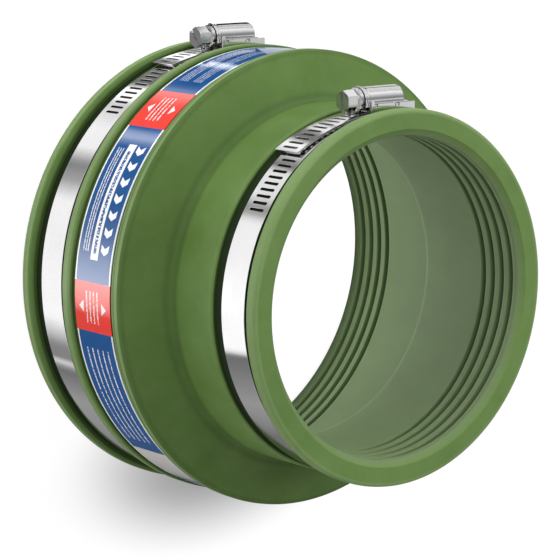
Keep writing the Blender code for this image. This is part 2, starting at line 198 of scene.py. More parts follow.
# How finely the pieces are made. Faces that meet at a wider angle keep a crisp edge.
SHARP_ANGLE = 14.0
LABEL_SHARP_ANGLE = 40.0
SLEEVE_SEGMENTS = 240
ROUNDING_STEPS = 4
LABEL_STEPS = 240
BARREL_STEPS = 32


# Node helpers

def feed(tree, target, value):
    """Links a socket to an input, or sets the input to a plain value."""
    if value is None:
        return
    if isinstance(value, Field):
        value = value.socket
    if isinstance(value, bpy.types.NodeSocket):
        tree.links.new(value, target)
    else:
        target.default_value = value


def put(tree, kind, inputs=None, out=0, **settings):
    """Adds a node, sets it up, feeds its inputs by name or number and returns an output."""
    node = tree.nodes.new(kind)
    for name, value in settings.items():
        setattr(node, name, value)
    for name, value in (inputs or {}).items():
        feed(tree, node.inputs[name], value)
    return node.outputs[out] if node.outputs else node


def maths_method(operation):
    """A method that puts down one maths node, for a field and up to one more value."""
    return lambda field, *others: field.maths(operation, field, *others)


class Field:
    """A number that varies over a shape, so that node maths reads as plain sums."""

    def __init__(self, tree, socket):
        self.tree = tree
        self.socket = socket.socket if isinstance(socket, Field) else socket

    def maths(self, operation, *values, clamp=False):
        inputs = dict(enumerate(values))
        socket = put(self.tree, "ShaderNodeMath", inputs, operation=operation, use_clamp=clamp)
        return Field(self.tree, socket)

    def __rsub__(self, other):
        return self.maths("SUBTRACT", other, self)

    __add__ = maths_method("ADD")
    __sub__ = maths_method("SUBTRACT")
    __mul__ = maths_method("MULTIPLY")
    __truediv__ = maths_method("DIVIDE")
    modulo = maths_method("FLOORED_MODULO")
    most = maths_method("MAXIMUM")
    least = maths_method("MINIMUM")
    over = maths_method("GREATER_THAN")
    sine = maths_method("SINE")
    cosine = maths_method("COSINE")
    arcsine = maths_method("ARCSINE")
    arctangent = maths_method("ARCTAN2")
    root = maths_method("SQRT")
    size = maths_method("ABSOLUTE")

    def held(self):
        """Kept between 0 and 1."""
        return self.maths("ADD", self, 0.0, clamp=True)

    def within(self, low, high):
        """1 between two values and 0 outside them."""
        return self.maths("COMPARE", self, (low + high) / 2, (high - low) / 2)

    def eased(self, low, high, start=0.0, end=1.0):
        """Runs smoothly from start to end while the field runs from low to high."""
        inputs = {"Value": self, 1: low, 2: high, 3: start, 4: end}
        socket = put(self.tree, "ShaderNodeMapRange", inputs, interpolation_type="SMOOTHSTEP")
        return Field(self.tree, socket)


def split(tree, vector):
    """The three parts of a vector as fields."""
    node = put(tree, "ShaderNodeSeparateXYZ", {0: vector}).node
    return [Field(tree, socket) for socket in node.outputs]


def join(tree, x, y, z):
    return put(tree, "ShaderNodeCombineXYZ", {0: x, 1: y, 2: z})


def group_tree(name, kind, inputs, outputs):
    """A node group with named inputs and outputs, and its inputs as a dictionary of sockets.

    An input is told by its default value, or by its kind where it has none.
    """
    tree = bpy.data.node_groups.new(name, kind + "NodeTree")
    kinds = {float: "Float", int: "Int", tuple: "Vector"}
    for label, default in inputs.items():
        plain = isinstance(default, str)
        kind = default if plain else kinds[type(default)]
        socket = tree.interface.new_socket(label, in_out="INPUT", socket_type="NodeSocket" + kind)
        if not plain:
            socket.default_value = default
    for label, kind in outputs.items():
        tree.interface.new_socket(label, in_out="OUTPUT", socket_type="NodeSocket" + kind)
    entry = tree.nodes.new("NodeGroupInput")
    return tree, {socket.name: socket for socket in entry.outputs if socket.name}


def close_group(tree, outputs):
    end = tree.nodes.new("NodeGroupOutput")
    for label, value in outputs.items():
        feed(tree, end.inputs[label], value)
    return tree


def close_geometry(tree, geometry, material):
    """Ends a geometry tree: plain mesh, shaded smooth, with its material."""
    real = put(tree, "GeometryNodeRealizeInstances", {0: geometry})
    shaded = put(tree, "GeometryNodeSetShadeSmooth", {0: real})
    coloured = put(tree, "GeometryNodeSetMaterial", {"Geometry": shaded, "Material": material})
    return close_group(tree, {"Geometry": coloured})


# Mesh helpers

def new_object(name, mesh):
    obj = bpy.data.objects.new(name, mesh)
    bpy.context.scene.collection.objects.link(obj)
    return obj


def mesh_object(name, bm, material=None):
    """Turns a bmesh in millimetres about the pipe axis into an object in the scene's metres."""
    bmesh.ops.translate(bm, vec=(0.0, AXIS_Y, 0.0), verts=bm.verts)
    bmesh.ops.scale(bm, vec=(MM, MM, MM), verts=bm.verts)
    mesh = bpy.data.meshes.new(name)
    bm.to_mesh(mesh)
    bm.free()
    if material:
        mesh.materials.append(material)
    return new_object(name, mesh)


def grow(obj, tree, **values):
    """Puts a geometry node tree on an object and sets its inputs by name."""
    modifier = obj.modifiers.new(tree.name, "NODES")
    modifier.node_group = tree
    for item in tree.interface.items_tree:
        key = item.name.replace(" ", "_").lower()
        if item.item_type == "SOCKET" and item.in_out == "INPUT" and key in values:
            modifier[item.identifier] = values[key]
    return modifier


def bake(obj):
    """Replaces an object's modifiers by the mesh that they make."""
    bpy.context.view_layer.update()
    graph = bpy.context.evaluated_depsgraph_get()
    shaped = bpy.data.meshes.new_from_object(
        obj.evaluated_get(graph), preserve_all_data_layers=True, depsgraph=graph
    )
    old = obj.data
    obj.modifiers.clear()
    obj.data = shaped
    shaped.name = obj.name
    bpy.data.meshes.remove(old)
    return obj


def thicken(obj, depth, outside=True, even=False):
    """Gives a sheet its thickness, on one side of it."""
    thick = obj.modifiers.new("thickness", "SOLIDIFY")
    thick.thickness = depth * MM
    thick.offset = 1.0 if outside else -1.0
    thick.use_even_offset = even


def rounded(obj, width, angle=35):
    """Bevels an object's sharp edges and shades it smooth."""
    bevel = obj.modifiers.new("rounded edges", "BEVEL")
    bevel.width = width * MM
    bevel.segments = 2
    bevel.limit_method = "ANGLE"
    bevel.angle_limit = math.radians(angle)
    bake(obj)
    obj.data.shade_smooth()
    obj.data.set_sharp_from_angle(angle=math.radians(SHARP_ANGLE))
    return obj


def outwards(bm):
    bmesh.ops.remove_doubles(bm, verts=bm.verts, dist=0.001)
    bmesh.ops.recalc_face_normals(bm, faces=bm.faces)
    return bm


def shell(stations):
    """A closed shell through stations, each an outer and an inner list of points."""
    bm = bmesh.new()
    rows = [[[bm.verts.new(p) for p in side] for side in station] for station in stations]
    for here, there in zip(rows, rows[1:]):
        for k in (0, 1):
            for i in range(len(here[k]) - 1):
                bm.faces.new((here[k][i], here[k][i + 1], there[k][i + 1], there[k][i]))
        for i in (0, -1):
            bm.faces.new((here[0][i], here[1][i], there[1][i], there[0][i]))
    for row in (rows[0], rows[-1]):
        for i in range(len(row[0]) - 1):
            bm.faces.new((row[0][i], row[0][i + 1], row[1][i + 1], row[1][i]))
    return outwards(bm)


def finish_piece(obj, node, body):
    """Lets a finished piece ride on its body in place of the CAD node of the same place."""
    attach(obj, body)
    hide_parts(node)
    return obj


# Shader groups that several finishes share

def noise(tree, place, scale, detail, roughness=0.5):
    inputs = {"Vector": place, "Scale": scale, "Detail": detail, "Roughness": roughness}
    return Field(tree, put(tree, "ShaderNodeTexNoise", inputs))


def mottling_group():
    """Soft blotches over a moulded or printed surface."""
    tree, given = group_tree(
        "soft mottling",
        "Shader",
        {
            "Position": "Vector",
            "Blotch Scale": 40.0,
            "Speck Scale": 900.0,
            "Contrast": 1.0,
        },
        {"Blotches": "Float", "Specks": "Float"},
    )
    blotch = noise(tree, given["Position"], given["Blotch Scale"], 5.0, 0.62)
    speck = noise(tree, given["Position"], given["Speck Scale"], 2.0)
    blotches = (blotch - 0.5) * given["Contrast"] * 2.4 + 0.5
    specks = (speck - 0.5) * given["Contrast"] * 2.0 + 0.5
    clamped = {"Blotches": blotches.held(), "Specks": specks.held()}
    return close_group(tree, clamped)


def rolled_steel_group():
    """Fine rolling lines, a speckled grain and duller patches on bright strip."""
    tree, given = group_tree(
        "rolled steel grain",
        "Shader",
        {
            "Position": "Vector",
            "Line Stretch": (1.0, 1.0, 1.0),
            "Grain Scale": 1500.0,
        },
        {"Lines": "Float", "Grain": "Float", "Patches": "Float"},
    )
    stretched = put(
        tree,
        "ShaderNodeVectorMath",
        {0: given["Position"], 1: given["Line Stretch"]},
        operation="MULTIPLY",
    )
    lines = noise(tree, stretched, 1.0, 3.0)
    grain = noise(tree, given["Position"], given["Grain Scale"], 1.0)
    patches = noise(tree, given["Position"], 60.0, 3.0)
    return close_group(tree, {"Lines": lines, "Grain": grain, "Patches": patches})


# Materials

def new_material(name):
    """A material with its tree, its Principled shader and its Object coordinates."""
    material = bpy.data.materials.new(name)
    material.use_nodes = True
    tree = material.node_tree
    shader = tree.nodes["Principled BSDF"]
    place = put(tree, "ShaderNodeTexCoord", out="Object")
    return material, tree, shader, place


def place_group(tree, group, inputs):
    """Places a shader group and returns its outputs as fields by name."""
    node = tree.nodes.new("ShaderNodeGroup")
    node.node_tree = group
    for name, value in inputs.items():
        feed(tree, node.inputs[name], value)
    return {socket.name: Field(tree, socket) for socket in node.outputs}


def mottled(tree, mottling, place, blotch_scale, speck_scale, contrast):
    """The soft mottling's blotches and specks at a given fineness."""
    names = ("Position", "Blotch Scale", "Speck Scale", "Contrast")
    values = (place, blotch_scale, speck_scale, contrast)
    return place_group(tree, mottling, dict(zip(names, values)))


def blend(tree, factor, below, above):
    """Lays one colour over another by a mask."""
    node = tree.nodes.new("ShaderNodeMix")
    node.data_type = "RGBA"
    feed(tree, node.inputs[0], factor)
    for target, value in ((node.inputs[6], below), (node.inputs[7], above)):
        feed(tree, target, (*value, 1.0) if isinstance(value, tuple) else value)
    return node.outputs[2]


def bump(tree, shader, height, depth):
    """Raises a surface by a height field, depth being its reach in millimetres."""
    inputs = {"Height": height, "Distance": depth * MM, "Strength": 1.0}
    feed(tree, shader.inputs["Normal"], put(tree, "ShaderNodeBump", inputs))


RUBBER_DEEP = (0.078, 0.150, 0.028)
RUBBER_FRESH = (0.112, 0.200, 0.048)
RUBBER_BORE = (0.125, 0.168, 0.088)
RUBBER_STAIN = (0.190, 0.275, 0.120)
# The last two are painted light: a pale painted highlight on edges and rims, and a near-black
# painted shade in creases, channels and grooves.
RUBBER_PAINTED_HIGHLIGHT = (0.300, 0.400, 0.200)
RUBBER_PAINTED_SHADE = (0.006, 0.014, 0.003)


def rubber_material(mottling):
    """Satin moulded green rubber, greyer in the bores, with painted highlight and shade."""
    material, tree, shader, place = new_material("green_rubber")
    marks = mottled(tree, mottling, place, 38.0, 1400.0, 1.0)
    stains = mottled(tree, mottling, place, 95.0, 420.0, 1.3)
    tone, bore = [
        Field(tree, put(tree, "ShaderNodeAttribute", out="Fac", attribute_name=name))
        for name in ("tone", "bore")
    ]
    # The dark side of the section's painted light is painted shade. It also makes the rubber
    # rougher there.
    shade = (tone * -1.0).most(0.0)
    colour = blend(tree, marks["Blotches"], RUBBER_DEEP, RUBBER_FRESH)
    colour = blend(tree, bore * 0.8, colour, RUBBER_BORE)
    colour = blend(tree, stains["Blotches"] * 0.14, colour, RUBBER_STAIN)
    # Painted highlight on edges and rims, then painted shade in creases, channels and grooves.
    colour = blend(tree, tone.most(0.0), colour, RUBBER_PAINTED_HIGHLIGHT)
    colour = blend(tree, shade, colour, RUBBER_PAINTED_SHADE)
    feed(tree, shader.inputs["Base Color"], colour)
    feed(tree, shader.inputs["Roughness"], marks["Blotches"] * 0.12 + shade * 0.35 + 0.46)
    shader.inputs["Specular IOR Level"].default_value = 0.32
    bump(tree, shader, marks["Specks"] * 0.35 + stains["Specks"] * 0.65, 0.05)
    return material


# The label's print, in degrees round the pipe and millimetres up from its rear edge. The same
# fields come twice round the coupling, PRINT_REPEAT apart.
PRINT_START = 60.0
PRINT_REPEAT = 180.0
FIRST_RED = (122.8, 135.3)
SECOND_RED = (176.3, 188.65)
TITLE_BAR = (140.7, 170.8)
TITLE_BAR_ACROSS = (8.4, 13.0)
LIST_ROWS = (193.0, 221.0)
TOP_ROWS = (96.0, 118.0)
PALE_FIELD = (225.0, 240.0)
BORDER = 0.75
PRINT_BLUE = (0.012, 0.080, 0.250)
PRINT_BLUE_FADED = (0.026, 0.100, 0.290)
PRINT_RED = (0.800, 0.060, 0.045)
PRINT_WHITE = (0.86, 0.87, 0.88)
PRINT_PALE = (0.62, 0.60, 0.58)
CHEVRONS = 7
CHEVRON_ACROSS = (14.3, 18.9)
CHEVRON_LEAN = 0.42
CHEVRON_STROKE = (1.2, 2.9)
TITLE_RULES = (3.2, 4.6, 6.0)
LIST_RULES = (4.2, 7.4, 10.6, 13.8, 17.0)
TOP_RULES = (3.6, 5.0, 6.4, 7.8, 12.0, 13.4, 14.8, 16.2)
RED_RULES = (7.0, 9.2, 11.4, 13.6)
ARROWHEADS = ((4.0, False), (18.0, True))


def rows(turn, up, places, height, span, spread, gap_scale):
    """Rows of fine broken rules, as small print looks from a step away."""
    solid = noise(turn.tree, spread, gap_scale, 1.0).over(0.44)
    mask = up.within(places[0], places[0] + height)
    for low in places[1:]:
        mask = mask.most(up.within(low, low + height))
    return mask * turn.within(*span) * solid


def triangle(turn, up, centre_turn, centre_up, half_turn, half_up, points_up):
    """A small solid arrowhead across the label."""
    along = (turn - centre_turn).size() / half_turn
    climb = (up - centre_up) / (2 * half_up) + 0.5
    inside = climb.within(0.0, 1.0)
    reach = 1.0 - climb if points_up else climb
    return inside * reach.over(along)


def label_material(mottling):
    """Gloss wrap label: blue, red and pale fields, white borders, rules and arrowheads."""
    material, tree, shader, place = new_material("printed_label")
    u, v, unused = split(tree, put(tree, "ShaderNodeUVMap", uv_map="UVMap"))
    turn = (u * 360.0 + (LABEL_SEAM_ANGLE - PRINT_START)).modulo(PRINT_REPEAT) + PRINT_START
    up = v * LABEL_WIDTH
    rules = join(tree, turn * 0.9, up * 0.35, 0.0)

    red = turn.within(*FIRST_RED).most(turn.within(*SECOND_RED))
    pale = turn.within(*PALE_FIELD)
    border = (1.0 - up.within(BORDER, LABEL_WIDTH - BORDER)) * (1.0 - red)
    bar = turn.within(*TITLE_BAR) * up.within(*TITLE_BAR_ACROSS)
    small = rows(turn, up, TITLE_RULES, 0.65, (142.0, 169.0), rules, 4.0)
    small = small.most(rows(turn, up, LIST_RULES, 0.7, LIST_ROWS, rules, 3.4))
    small = small.most(rows(turn, up, TOP_RULES, 0.6, TOP_ROWS, rules, 4.4) * 0.7)
    marks = None
    for middle in (sum(FIRST_RED) / 2, sum(SECOND_RED) / 2):
        for across, points_up in ARROWHEADS:
            one = triangle(turn, up, middle, across, 1.5, 1.4, points_up)
            marks = one if marks is None else marks.most(one)
        span = (middle - 4.0, middle + 4.0)
        marks = marks.most(rows(turn, up, RED_RULES, 0.75, span, rules, 3.8))

    middle = sum(CHEVRON_ACROSS) / 2
    spacing = (TITLE_BAR[1] - TITLE_BAR[0]) / CHEVRONS
    lean = (up - middle).size() * CHEVRON_LEAN
    phase = (turn - TITLE_BAR[0] + lean).modulo(spacing)
    chevrons = phase.within(*CHEVRON_STROKE) * up.within(*CHEVRON_ACROSS) * turn.within(*TITLE_BAR)
    in_bar = rows(turn, up, (9.8,), 1.7, (TITLE_BAR[0] + 2.0, TITLE_BAR[1] - 1.5), rules, 2.6)

    ink = mottled(tree, mottling, place, 60.0, 2500.0, 0.8)
    white = border.most(bar - in_bar).most(small * 0.85).most(marks * 0.9).most(chevrons)
    colour = blend(tree, ink["Blotches"], PRINT_BLUE, PRINT_BLUE_FADED)
    colour = blend(tree, red, colour, PRINT_RED)
    colour = blend(tree, pale, colour, PRINT_PALE)
    colour = blend(tree, white, colour, PRINT_WHITE)
    feed(tree, shader.inputs["Base Color"], colour)
    feed(tree, shader.inputs["Roughness"], ink["Blotches"] * 0.05 + 0.05)
    shader.inputs["Specular IOR Level"].default_value = 0.5
    bump(tree, shader, ink["Specks"], 0.004)
    return material


STRIP_STEEL = (0.78, 0.77, 0.78)
WORKED_STEEL = (0.76, 0.75, 0.76)
STEEL_SPECK = (0.93, 0.93, 0.94)


def steel_material(name, grain, colour, roughness, stretch, lines_depth):
    """Bright stainless steel with rolling lines, a speckled grain and a few duller patches."""
    material, tree, shader, place = new_material(name)
    if name == "band_steel":
        place = put(tree, "ShaderNodeUVMap", uv_map="UVMap")
    looks = place_group(
        tree, grain, {"Position": place, "Line Stretch": stretch, "Grain Scale": 1500.0}
    )
    dull = blend(tree, looks["Patches"], tuple(0.82 * c for c in colour), colour)
    speckled = blend(tree, (looks["Grain"] - 0.35) * 0.5, dull, STEEL_SPECK)
    feed(tree, shader.inputs["Base Color"], speckled)
    shader.inputs["Metallic"].default_value = 1.0
    rough = looks["Grain"] * 0.08 + looks["Patches"] * 0.06 + roughness
    feed(tree, shader.inputs["Roughness"], rough)
    bump(tree, shader, looks["Lines"] + looks["Grain"] * 0.5, lines_depth)
    return material


# Sleeve

def sleeve_corners():
    """The section's corners, up the outside and down the inside.

    Each is (radius, height, rounding, painted light of the corner, painted light of the face after
    it, inside). Painted light above zero is a painted highlight, below zero painted shade.
    """
    outer = [
        (LARGE_BORE_R + LARGE_MOUTH_CHAMFER, 0.0, FINE_ROUND, 0.1, 0.1),
        (LARGE_RIM_R, 0.0, RIM_ROUND, 0.65, 0.45),
        (LARGE_RIM_R, LARGE_RIM_LENGTH * 0.62, 0.0, 0.40, 0.0),
        (LARGE_RIM_R, LARGE_RIM_LENGTH, EDGE_ROUND, -0.25, -0.60),
        (LARGE_FLOOR_R, LARGE_RIM_LENGTH, CREASE_ROUND, -0.95, -0.97),
        (LARGE_FLOOR_R, RIDGE_Z, CREASE_ROUND, -0.97, -0.60),
        (RIDGE_R, RIDGE_Z, RIDGE_ROUND, 0.30, 0.35),
        (RIDGE_R, RIDGE_Z + RIDGE_LENGTH * 0.6, 0.0, 0.28, 0.0),
        (RIDGE_R, RECESS_Z, EDGE_ROUND, -0.30, -0.60),
        (RECESS_R, RECESS_Z, FINE_ROUND, -0.60, -0.35),
        (RECESS_R, RECESS_TOP_Z, FINE_ROUND, -0.50, 0.10),
        (LARGE_RIM_R, RECESS_TOP_Z, EDGE_ROUND, 0.45, -0.10),
        (LARGE_RIM_R, RECESS_TOP_Z + BEAD_LENGTH * 0.45, 0.0, 0.40, 0.30),
        (LARGE_RIM_R, STEP_Z, BEAD_ROUND, -0.35, -0.18),
        (NECK_R, STEP_Z + FACE_RISE, NECK_FILLET, -0.38, 0.0),
        (NECK_R, SHOULDER_Z, EDGE_ROUND, 0.05, -0.60),
        (SMALL_FLOOR_R, SHOULDER_Z + SHOULDER_LEAN, CREASE_ROUND, -0.95, -0.97),
        (SMALL_FLOOR_R, SMALL_RIM_Z, CREASE_ROUND, -0.97, -0.60),
        (SMALL_RIM_R, SMALL_RIM_Z, EDGE_ROUND, 0.30, 0.30),
        (SMALL_RIM_R, TOP_Z, EDGE_ROUND, 0.25, 0.04),
        (SMALL_BORE_R + SMALL_MOUTH_CHAMFER, TOP_Z, FINE_ROUND, 0.05, 0.12),
    ]
    inner = [(SMALL_BORE_R, TOP_Z - SMALL_MOUTH_CHAMFER, FINE_ROUND, 0.0, 0.0)]
    for i in range(GROOVE_COUNT):
        inner += groove(SMALL_BORE_R, TOP_Z - SMALL_FIRST_GROOVE - i * GROOVE_PITCH)
    inner += [(SMALL_BORE_R, STEP_Z + STEP_WEB, EDGE_ROUND, 0.15, 0.0)]
    inner += [(LARGE_BORE_R, STEP_Z + STEP_WEB - INNER_CONE, EDGE_ROUND, 0.0, 0.0)]
    for i in reversed(range(GROOVE_COUNT)):
        inner += groove(LARGE_BORE_R, LARGE_FIRST_GROOVE + i * GROOVE_PITCH + GROOVE_WIDTH)
    inner += [(LARGE_BORE_R, LARGE_MOUTH_CHAMFER, FINE_ROUND, 0.0, 0.0)]
    return [(*corner, 0.0) for corner in outer] + [(*corner, 1.0) for corner in inner]


def groove(bore, top):
    """One sealing groove in a bore, from its upper edge down."""
    # Its pale edges are painted highlight, and its dark walls and floor painted shade.
    return [
        (bore, top, FINE_ROUND, 0.10, -0.45),
        (bore + GROOVE_DEPTH, top - GROOVE_SLOPE, FINE_ROUND, -0.60, -0.60),
        (bore + GROOVE_DEPTH, top - GROOVE_SLOPE - GROOVE_FLOOR, FINE_ROUND, -0.60, -0.35),
        (bore, top - GROOVE_WIDTH, FINE_ROUND, 0.10, 0.0),
    ]


def sleeve_section():
    """The closed section as a ring of edges, with guard points that keep its flats flat.

    It lies as a profile curve does, with x outwards and y down, and carries how much each corner
    is rounded, its painted highlight or painted shade, and whether it is inside a bore.
    """
    corners = sleeve_corners()
    points = []
    for i, (r, z, rounding, tone, painted_light_after, inside) in enumerate(corners):
        before, after = corners[i - 1], corners[(i + 1) % len(corners)]
        arrive = Vector((r - before[0], z - before[1]))
        leave = Vector((after[0] - r, after[1] - z))
        here = Vector((r, z))
        guard = min(1.3 * rounding + 0.35, 0.45 * arrive.length)
        points.append((here - arrive.normalized() * guard, 0.0, before[4], inside))
        points.append((here, rounding, tone, inside))
        guard = min(1.3 * rounding + 0.35, 0.45 * leave.length)
        points.append((here + leave.normalized() * guard, 0.0, painted_light_after, inside))
    mesh = bpy.data.meshes.new("sleeve section")
    edges = [(i, (i + 1) % len(points)) for i in range(len(points))]
    mesh.from_pydata([((p.x - 1.0) * MM, -p.y * MM, 0.0) for p, *rest in points], edges, [])
    for column, name in enumerate(("rounding", "tone", "bore"), start=1):
        scale = MM if name == "rounding" else 1.0
        values = mesh.attributes.new(name, "FLOAT", "POINT")
        values.data.foreach_set("value", [point[column] * scale for point in points])
    return mesh


def revolve_tree():
    """Rounds a section's corners and turns it round the pipe axis."""
    tree, given = group_tree(
        "turned section",
        "Geometry",
        {
            "Geometry": "Geometry",
            "Segments": 64,
            "Rounding Steps": 3,
            "Axis": (0.0, 0.0, 0.0),
            "Material": "Material",
        },
        {"Geometry": "Geometry"},
    )
    section = put(tree, "GeometryNodeMeshToCurve", {0: given["Geometry"]})
    rounding = put(tree, "GeometryNodeInputNamedAttribute", {"Name": "rounding"}, data_type="FLOAT")
    inputs = {"Curve": section, "Count": given["Rounding Steps"], "Radius": rounding}
    inputs["Limit Radius"] = True
    section = put(tree, "GeometryNodeFilletCurve", inputs, mode="POLY")
    path = put(
        tree,
        "GeometryNodeCurvePrimitiveCircle",
        {"Resolution": given["Segments"], "Radius": 1.0 * MM},
        mode="RADIUS",
    )
    path = put(tree, "GeometryNodeSetCurveNormal", {"Curve": path}, mode="Z_UP")
    turned = put(tree, "GeometryNodeCurveToMesh", {"Curve": path, "Profile Curve": section})
    turned = put(tree, "GeometryNodeTransform", {"Geometry": turned, "Translation": given["Axis"]})
    return close_geometry(tree, turned, given["Material"])


def make_sleeve(rubber):
    sleeve = new_object("moulded_sleeve", sleeve_section())
    grow(
        sleeve,
        revolve_tree(),
        segments=SLEEVE_SEGMENTS,
        rounding_steps=ROUNDING_STEPS,
        axis=(0.0, AXIS_Y * MM, 0.0),
        material=rubber,
    )
    bake(sleeve)
    face_outwards(sleeve)
    return finish_piece(sleeve, "rubber_sleeve", "coupling")


def face_outwards(obj):
    bm = bmesh.new()
    bm.from_mesh(obj.data)
    bmesh.ops.recalc_face_normals(bm, faces=bm.faces)
    bm.to_mesh(obj.data)
    bm.free()


# Label

def make_label(printed):
    """The wrap label as a thin strip with its own map: once round by once across."""
    inner = RECESS_R + GAP
    seam = math.degrees(LABEL_SEAM / inner)
    low = RECESS_Z + LABEL_MARGIN
    across = 6
    bm = bmesh.new()
    uv = bm.loops.layers.uv.new("UVMap")
    grid = []
    for i in range(LABEL_STEPS + 1):
        along = (seam / 2 + (360.0 - seam) * i / LABEL_STEPS) / 360.0
        a = math.radians(LABEL_SEAM_ANGLE + 360.0 * along)
        x, y = inner * math.cos(a), inner * math.sin(a)
        row = []
        for j in range(across + 1):
            z = low + LABEL_WIDTH * j / across
            row.append((bm.verts.new((x, y, z)), (along, j / across)))
        grid.append(row)
    for here, there in zip(grid, grid[1:]):
        for j in range(across):
            ring = (here[j], there[j], there[j + 1], here[j + 1])
            face = bm.faces.new([vert for vert, place in ring])
            for loop, (vert, place) in zip(face.loops, ring):
                loop[uv].uv = place
    label = mesh_object("wrap_label", bm, printed)
    thicken(label, LABEL_THICKNESS)
    bake(label)
    label.data.shade_smooth()
    label.data.set_sharp_from_angle(angle=math.radians(LABEL_SHARP_ANGLE))
    return finish_piece(label, "label", "coupling")


# Clamp bands

def band_cell(name, slotted):
    """One pitch of flat band, with or without its slot, x along and y across."""
    side, end, half = SLOT_PITCH / 2, SLOT_LENGTH / 2, SLOT_WIDTH / 2
    straight = end - half
    columns = (-side, -half, 0.0, half, side)
    lines = (-BAND_WIDTH / 2, -end, -straight, 0.0, straight, end, BAND_WIDTH / 2)
    bm = bmesh.new()
    grid = [[bm.verts.new((x, y, 0.0)) for y in lines] for x in columns]
    for i in range(len(columns) - 1):
        for j in range(len(lines) - 1):
            middle = i in (1, 2)
            if slotted and middle and j in (2, 3):
                continue
            ring = [grid[i][j], grid[i + 1][j], grid[i + 1][j + 1], grid[i][j + 1]]
            if slotted and middle and j in (1, 4):
                inward = 1 if j == 1 else -1
                outer = grid[1 if i == 1 else 3][1 if j == 1 else 5]
                tip = grid[2][1 if j == 1 else 5]
                low = grid[1 if i == 1 else 3][2 if j == 1 else 4]
                arc = (outer.co.x * 0.7, outer.co.y + inward * half * 0.3, 0.0)
                ring = [outer, tip, bm.verts.new(arc), low]
            bm.faces.new(ring)
    loose = [vert for vert in bm.verts if not vert.link_faces]
    bmesh.ops.delete(bm, geom=loose, context="VERTS")
    for face in bm.faces:
        face.normal_update()
        if face.normal.z < 0:
            face.normal_flip()
    bmesh.ops.scale(bm, vec=(MM, MM, MM), verts=bm.verts)
    mesh = bpy.data.meshes.new(name)
    bm.to_mesh(mesh)
    bm.free()
    cell = new_object(name, mesh)
    cell.hide_render = True
    return cell


def band_tree():
    """Lays perforated and plain cells end to end and wraps them round the channel."""
    tree, given = group_tree(
        "wrapped clamp band",
        "Geometry",
        {
            "Geometry": "Geometry",
            "Slotted Cell": "Object",
            "Plain Cell": "Object",
            "Cells": 200,
            "Lower Slots": 20,
            "Tail Slots": 25,
            "Pitch": 0.003,
            "Cell Length": 0.003,
            "End Piece": 0.001,
            "Seat Radius": 0.07,
            "Measure Radius": 0.07,
            "Start Angle": 0.0,
            "End Angle": 0.0,
            "Ramp Start": 0.0,
            "Ramp End": 0.0,
            "Leaves Housing": 0.0,
            "Layer Rise": 0.001,
            "Tail Lift": 0.001,
            "Tail Skew": 0.001,
            "Middle": (0.0, 0.0, 0.0),
            "Material": "Material",
        },
        {"Geometry": "Geometry"},
    )
    cells = Field(tree, given["Cells"])
    pitch = Field(tree, given["Pitch"])
    end_piece = Field(tree, given["End Piece"])
    count = {"Count": cells + 2.0}
    line = put(tree, "GeometryNodeMeshLine", count, mode="OFFSET", count_mode="TOTAL")
    index = Field(tree, put(tree, "GeometryNodeInputIndex"))
    whole = cells * pitch + end_piece * 2.0
    along = (index - 0.5) * pitch + end_piece
    along = along.most(end_piece / 2.0).least(whole - end_piece / 2.0)
    spots = join(tree, along, 0.0, 0.0)
    line = put(tree, "GeometryNodeSetPosition", {"Geometry": line, "Position": spots})

    lower = Field(tree, given["Lower Slots"])
    tail = cells - given["Tail Slots"]
    slotted = index.over(0.5) * (lower + 0.5).over(index)
    slotted = slotted.most(index.over(tail + 0.5) * (cells + 0.5).over(index))
    is_end = (1.0 - index.over(0.5)).most(index.over(cells + 0.5))
    stretch = pitch / given["Cell Length"]
    width = stretch + is_end * (end_piece / given["Cell Length"] - stretch)
    parts = []
    for socket, chosen in (("Slotted Cell", slotted), ("Plain Cell", 1.0 - slotted)):
        cell = put(tree, "GeometryNodeObjectInfo", {"Object": given[socket]}, out="Geometry")
        inputs = {"Points": line, "Selection": chosen, "Instance": cell}
        inputs["Scale"] = join(tree, width, 1.0, 1.0)
        parts.append(put(tree, "GeometryNodeInstanceOnPoints", inputs))
    joined = tree.nodes.new("GeometryNodeJoinGeometry")
    for part in parts:
        tree.links.new(part, joined.inputs[0])
    strip = put(tree, "GeometryNodeRealizeInstances", {0: joined.outputs[0]})
    strip = put(tree, "GeometryNodeMergeByDistance", {"Geometry": strip, "Distance": 0.02 * MM})

    x, y, z = split(tree, put(tree, "GeometryNodeInputPosition"))
    strip = put(
        tree,
        "GeometryNodeStoreNamedAttribute",
        {"Geometry": strip, "Name": "UVMap", "Value": join(tree, x, y, 0.0)},
        data_type="FLOAT2",
        domain="CORNER",
    )
    angle = x / given["Measure Radius"] * DEGREES + given["Start Angle"]
    leaves = given["Leaves Housing"]
    free = (angle - leaves) / (Field(tree, given["End Angle"]) - leaves)
    free = free.most(0.0)
    rise = angle.eased(given["Ramp Start"], given["Ramp End"]) * given["Layer Rise"]
    rise = rise + free * free * given["Tail Lift"]
    radius = rise + given["Seat Radius"]
    radians = angle / DEGREES
    place = join(
        tree,
        radius * radians.cosine(),
        radius * radians.sine(),
        y - free * given["Tail Skew"],
    )
    strip = put(
        tree,
        "GeometryNodeSetPosition",
        {"Geometry": strip, "Position": place, "Offset": given["Middle"]},
    )
    return close_geometry(tree, strip, given["Material"])


